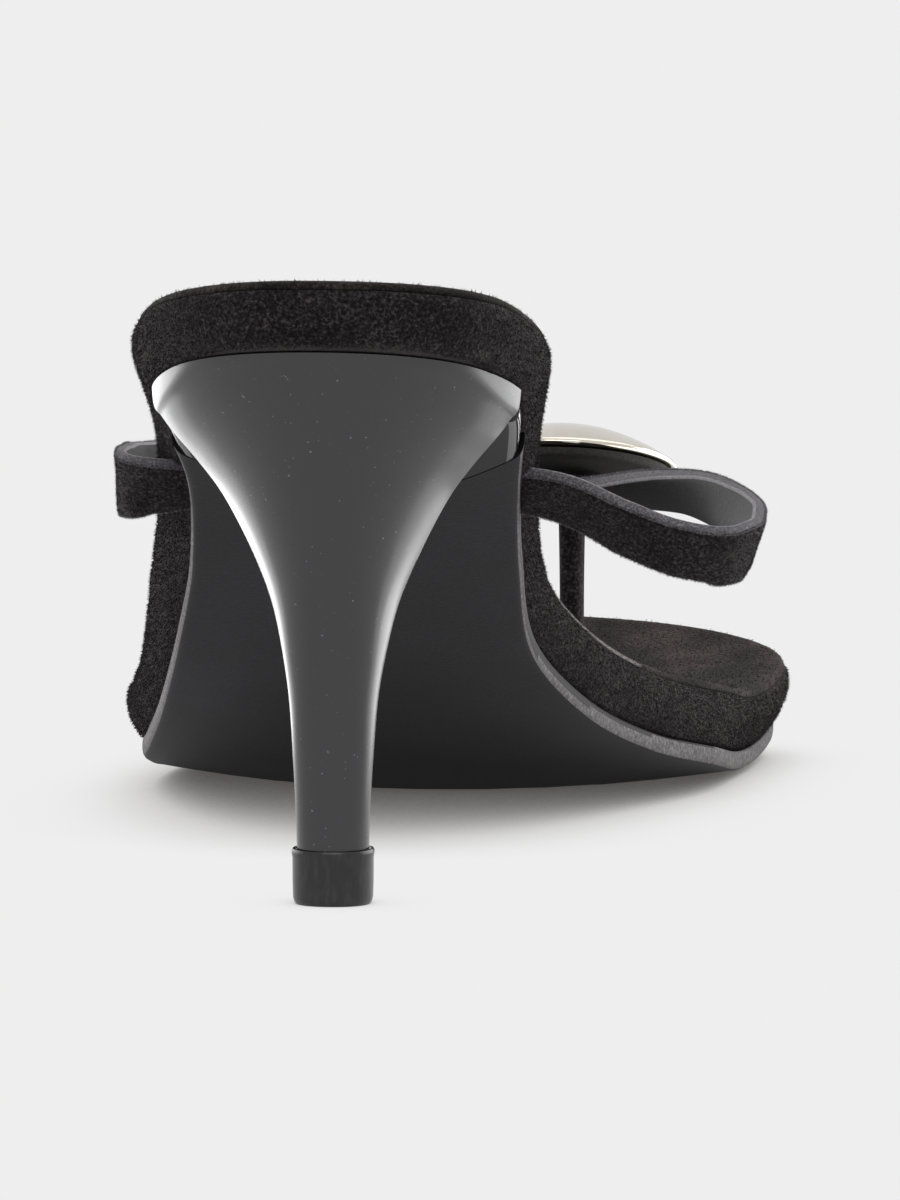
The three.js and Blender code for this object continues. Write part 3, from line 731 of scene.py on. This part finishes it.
def centripetalCurve(points, perRow):  # points and directions along a smooth curve through the rows
    ends = np.concatenate([[2 * points[0] - points[1]], points, [2 * points[-1] - points[-2]]])
    gaps = np.sqrt(np.linalg.norm(np.diff(ends, axis=0), axis=1))
    places = []
    for k in range(len(points) - 1):
        p0, p1, p2, p3 = ends[k:k + 4]
        g0, g1, g2 = gaps[k:k + 3]
        t1 = ((p1 - p0) / g0 - (p2 - p0) / (g0 + g1) + (p2 - p1) / g1) * g1
        t2 = ((p2 - p1) / g1 - (p3 - p1) / (g1 + g2) + (p3 - p2) / g2) * g1
        t = np.arange(perRow + (k == len(points) - 2))[:, None] / perRow
        square = -3 * p1 + 3 * p2 - 2 * t1 - t2
        cube = 2 * p1 - 2 * p2 + t1 + t2
        places.append(p1 + t1 * t + square * t**2 + cube * t**3)
    places = np.concatenate(places)
    along = np.gradient(places, axis=0)
    return places, along / np.linalg.norm(along, axis=1)[:, None]


def unit(vectors):
    return vectors / np.linalg.norm(vectors, axis=-1, keepdims=True)


def ribbonFrame(arm):
    centre, along = centripetalCurve(arm[:, :3], ribbonShape["stepsPerRow"])
    rows = np.arange(len(centre)) / ribbonShape["stepsPerRow"]
    across = np.stack([np.interp(rows, np.arange(len(arm)), arm[:, 3 + k]) for k in range(3)], axis=-1)
    for _ in range(ribbonShape["smoothing"]):
        across[1:-1] = (across[:-2] + 2 * across[1:-1] + across[2:]) / 4
    across = unit(across - along * np.sum(across * along, axis=1)[:, None])
    return centre, along, across, np.cross(along, across)


def makeRibbon(name, arm, outer):  # outer is 1 where the suede faces along x across y, else -1
    centre, along, across, through = ribbonFrame(arm)
    section = np.array(ribbonShape["section"])
    other = section[-2:0:-1] * (-1, 1, 1)
    loop = np.concatenate([section, other])
    zones = np.concatenate([section[:-1, 2], section[-2::-1, 2]]).astype(int)
    rings = centre[:, None] + loop[:, :1] * across[:, None] + outer * loop[:, 1:2] * through[:, None]
    count = len(loop)
    faces = ringFaces(count, len(rings))
    faceZones = np.zeros(len(faces), int)
    body = (len(rings) - 1) * count
    faceZones[:body] = np.tile(zones, len(rings) - 1)
    if outer > 0:
        faces = [tuple(reversed(face)) for face in faces]
    addPiece(name, rings, faces, [suedeWall, cutEdge, liningRim, lining], ["upper"], faceZones)
    return rings


medialRings = makeRibbon("ribbonMedial", medialArm, 1)
lateralRings = makeRibbon("ribbonLateral", lateralArm, -1)

# Toe post and the knot under the disc
disc = {"x": 16, "y": 158, "z": 42.2, "tilt": 18}
postShape = {
    "x": 17,
    "y": 160,
    "halfX": 1.9,
    "halfY": 3,
    "foot": 7,
    "head": 39,
    "waist": 0.12,  # how much thinner the post is half way up
    "squareness": 3,
    "steps": 24,
    "count": 32,
}
postRings = []
for share in np.linspace(0, 1, postShape["steps"]):
    pinch = 1 - postShape["waist"] * math.sin(math.pi * share)
    height = postShape["foot"] + share * (postShape["head"] - postShape["foot"])
    postRings.append(roundRing(postShape["x"], postShape["y"], height, postShape["halfX"] * pinch,
                               postShape["halfY"] * pinch, postShape["squareness"], postShape["count"]))
addPiece("toePost", np.array(postRings), ringFaces(postShape["count"], len(postRings)), [suedeWall],
         ["upper"])

knotShape = {
    "x": 16.5,
    "y": 158,
    "halfX": 7,
    "halfY": 8,
    "squareness": 2.3,
    "count": 48,
    # depth under its top, and share of its full size
    "profile": ((4, 0.4), (3.7, 0.6), (3, 0.78), (2, 0.92), (1, 0.99), (0.4, 1), (0.1, 0.97), (0, 0.88)),
}
slope = -math.tan(math.radians(disc["tilt"]))
knotRings = []
for drop, share in knotShape["profile"]:
    ring = roundRing(knotShape["x"], knotShape["y"], disc["z"] - 2 * shoe["gap"] - drop,
                     knotShape["halfX"] * share, knotShape["halfY"] * share,
                     knotShape["squareness"], knotShape["count"])
    ring[:, 2] += slope * (ring[:, 1] - disc["y"])
    knotRings.append(ring)
addPiece("strapKnot", np.array(knotRings), ringFaces(knotShape["count"], len(knotRings)), [suedeWall],
         ["upper"])


# Disc: a domed nickel plate on a flat backing
def lathe(name, profile, material, node, count=128):
    turn = 2 * np.pi * np.arange(count) / count
    tilt = math.radians(disc["tilt"])
    rings = []
    for radius, height in profile:
        x = radius * np.sin(turn)
        y = -radius * np.cos(turn)
        rings.append(np.stack([
            disc["x"] + x,
            disc["y"] + y * math.cos(tilt) + height * math.sin(tilt),
            disc["z"] - y * math.sin(tilt) + height * math.cos(tilt),
        ], axis=-1))
    return addPiece(name, np.array(rings), ringFaces(count, len(rings)), [material], [node])


discShape = {  # profiles as radius and height
    "backing": [(3, 0), (12, 0), (14.8, 0.0), (15.1, 0.1), (15.3, 0.35), (15.4, 0.8), (15.4, 1.2), (8, 1.22)],
    "rim": [(8, 1.5), (15.2, 1.5), (15.6, 1.52), (15.86, 1.66), (15.98, 1.9), (15.98, 2.15), (15.8, 2.4)],
    "crown": 5.2,  # height of the dome over its rim
    "domeShares": np.linspace(0.02, 0.97, 26),  # of the way from the rim to the top
}
domeFoot, domeBase = discShape["rim"][-1]
domeProfile = [(domeFoot * (1 - share), domeBase + discShape["crown"] * (1 - (1 - share) ** 2))
               for share in discShape["domeShares"]]
lathe("discBacking", discShape["backing"], backing, "disc_backing")
lathe("discDome", discShape["rim"] + domeProfile, nickel, "metal_disc")
print("hard pieces made")


# Short fibres standing off the suede, each a closed spike of four faces with its root sunk in
def addFibres(name, place, facing, material, look):
    sunk = 0.12
    count = len(place)
    reach = dice.uniform(*look["length"], count)[:, None]
    aim = unit(facing + np.array(look["lean"]) + dice.normal(0, look["spread"], (count, 3)))
    side = unit(np.cross(aim, dice.normal(0, 1, (count, 3))))
    third = np.cross(aim, side)
    root = place - aim * sunk
    half = look["width"] / 2
    corners = np.stack([
        root + side * half,
        root - side * half * 0.5 + third * half * 0.87,
        root - side * half * 0.5 - third * half * 0.87,
        root + aim * (reach + sunk),
    ], axis=1)
    base = 4 * np.arange(count)[:, None]
    faces = np.concatenate([base + corner for corner in ((0, 1, 3), (1, 2, 3), (2, 0, 3), (0, 2, 1))])
    return addPiece(name, corners, faces.tolist(), [material], sharpAngle=180)


def scatter(grid, count):  # random places and face directions on a grid of points
    a = grid[:-1, :-1].reshape(-1, 3)
    b = grid[:-1, 1:].reshape(-1, 3)
    c = grid[1:, :-1].reshape(-1, 3)
    d = grid[1:, 1:].reshape(-1, 3)
    cross = np.cross(b - a, c - a)
    area = np.linalg.norm(cross, axis=1)
    pick = dice.choice(len(area), count, p=area / area.sum())
    u = dice.random((count, 1))
    v = dice.random((count, 1))
    place = (a[pick] * (1 - u) + b[pick] * u) * (1 - v) + (c[pick] * (1 - u) + d[pick] * u) * v
    return place, unit(cross[pick])


def closed(rings):
    return np.concatenate([rings, rings[:, :1]], axis=1)


# Brushed nap on the wall, the sock and the ribbons' suede face, and a fringe along the ribbons' cut edges
wallNap = {"count": 42000, "length": (0.25, 0.6), "width": 0.16, "lean": (0, 0, -0.5), "spread": 0.45}
place, facing = scatter(closed(wallPoints), wallNap["count"])
addFibres("footbedNap", place, facing, suedeNap, wallNap)

sockNap = {"count": 26000, "length": (0.2, 0.5), "width": 0.15, "lean": (0, 0.3, 0), "spread": 0.6}
sockFirst = len(sockLook["insideShares"]) + 1
place, facing = scatter(closed(sockRings[sockFirst:]), sockNap["count"])
addFibres("sockNap", place, facing, suedeNap, sockNap)

ribbonNap = {"count": 14000, "length": (0.2, 0.45), "width": 0.13, "lean": (0, 0, 0.1), "spread": 0.5}
fringe = {"count": 7000, "length": (0.15, 0.45), "width": 0.11, "lean": (0, 0, 0), "spread": 0.6}
faceColumns = 4  # from the middle of the suede face to its cut edge
for label, rings, outer in (("Medial", medialRings, 1), ("Lateral", lateralRings, -1)):
    around = rings.shape[1]
    suedeSide = np.concatenate([rings[:, around - faceColumns:], rings[:, :faceColumns + 1]], axis=1)
    place, facing = scatter(suedeSide, ribbonNap["count"])
    addFibres("ribbonNap" + label, place, -outer * facing, suedeNap, ribbonNap)
    for edgeName, first in (("Upper", faceColumns), ("Lower", around - faceColumns - 1)):
        place, facing = scatter(rings[:, first:first + 2], fringe["count"])
        addFibres("edgeFringe" + label + edgeName, place, -outer * facing, fringeFibre, fringe)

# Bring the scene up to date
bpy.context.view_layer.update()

# Studio: a pale table that glows by its own emission and is darkened near the shoe by its ambient occlusion as
# painted shadow, an even pale sky, a soft box low on each side, a weak one high behind the camera, and glowing
# panels on the table whose mirror image lights the heel's flanks
studio = {
    # the table's emitted colour against its ambient occlusion: painted shadow near the shoe, even pale further
    # off
    "table": ((0.0, "#4e4b4a"), (0.2, "#989695"), (0.45, "#d1d0cf"), (0.7, "#e8e8e8"), (0.85, "#eeeeee")),
    "paintedShadowReach": 0.036,  # metres
    "sky": "#f4f4f6",
    "skyStrength": 0.85,
    "keyStrength": 0.5,
    "keyAngle": 50,  # degrees, as are its turns
    "keyTurn": (-28, 12, 0),
    "boxes": (
        # name, place, where it points, size, strength in watts
        ("softboxRight", (1.0, 0.75, 0.32), (0, 0.06, 0.06), (1.3, 0.9), 8),
        ("softboxLeft", (-1.0, 0.75, 0.32), (0, 0.06, 0.06), (1.3, 0.9), 6),
        ("tableGlowRight", (0.27, 0.3, 0.002), (0.27, 0.3, 1), (0.4, 0.5), 0.45),
        ("tableGlowRightFar", (0.27, 0.335, 0.0025), (0.27, 0.335, 1), (0.4, 0.5), 0.95),
        ("tableGlowLeft", (-0.27, 0.33, 0.002), (-0.27, 0.33, 1), (0.4, 0.5), 0.5),
        ("tableGlowLeftFar", (-0.27, 0.38, 0.0025), (-0.27, 0.38, 1), (0.4, 0.5), 1.25),
        ("fillBehind", (0.1, -1.4, 1.15), (0, 0, 0.06), (1.2, 0.8), 6),
    ),
}
floorMesh = bpy.data.meshes.new("emissiveTable")
reach = 8
floorCorners = [(-reach, -reach, 0), (reach, -reach, 0), (reach, reach, 0), (-reach, reach, 0)]
floorMesh.from_pydata(floorCorners, [], [(0, 1, 2, 3)])
floor = bpy.data.objects.new("emissiveTable", floorMesh)
bpy.context.scene.collection.objects.link(floor)
# an emission-only surface that glows with no lamp, its colour darkened by ambient occlusion as painted shadow
table, tableTree = newMaterial("tableEmissionPaintedShadow")[:2]
tablePaintedShadow = addNode(tableTree, "ShaderNodeAmbientOcclusion", {"Distance": studio["paintedShadowReach"]}, samples=16)
tableGlowEmission = addNode(tableTree, "ShaderNodeEmission", {
    "Color": addRamp(tableTree, tablePaintedShadow.outputs["AO"], studio["table"]), "Strength": 1})
tableTree.links.new(tableGlowEmission.outputs["Emission"], tableTree.nodes["Material Output"].inputs["Surface"])
floorMesh.materials.append(table)

world = bpy.data.worlds.new("paleStudio")
world.use_nodes = True
bpy.context.scene.world = world
sky = world.node_tree.nodes["Background"]
sky.inputs["Color"].default_value = linear(studio["sky"])
sky.inputs["Strength"].default_value = studio["skyStrength"]

key = bpy.data.objects.new("keyLight", bpy.data.lights.new("keyLight", "SUN"))
key.data.energy = studio["keyStrength"]
key.data.angle = math.radians(studio["keyAngle"])
key.rotation_euler = [math.radians(turn) for turn in studio["keyTurn"]]
bpy.context.scene.collection.objects.link(key)


def turnTo(thing, spot, target):
    thing.location = spot
    thing.rotation_euler = (Vector(target) - Vector(spot)).to_track_quat("-Z", "Y").to_euler()


for name, spot, target, size, strength in studio["boxes"]:
    box = bpy.data.objects.new(name, bpy.data.lights.new(name, "AREA"))
    box.data.shape = "RECTANGLE"
    box.data.size, box.data.size_y = size
    box.data.energy = strength
    turnTo(box, spot, target)
    box.visible_camera = False
    bpy.context.scene.collection.objects.link(box)

# Camera: low behind the heel, a long lens, as far off as the photo's
view = {"place": (0.234, -2.173, 0.259), "aim": (0.009, 0.066, 0.034), "lens": 496, "sensor": 36}
camera = bpy.data.objects.new("camera", bpy.data.cameras.new("camera"))
camera.data.lens = view["lens"]
camera.data.sensor_width = view["sensor"]
turnTo(camera, view["place"], view["aim"])
bpy.context.scene.collection.objects.link(camera)
bpy.context.scene.camera = camera
bpy.context.scene.view_settings.view_transform = "Standard"
print("studio ready")
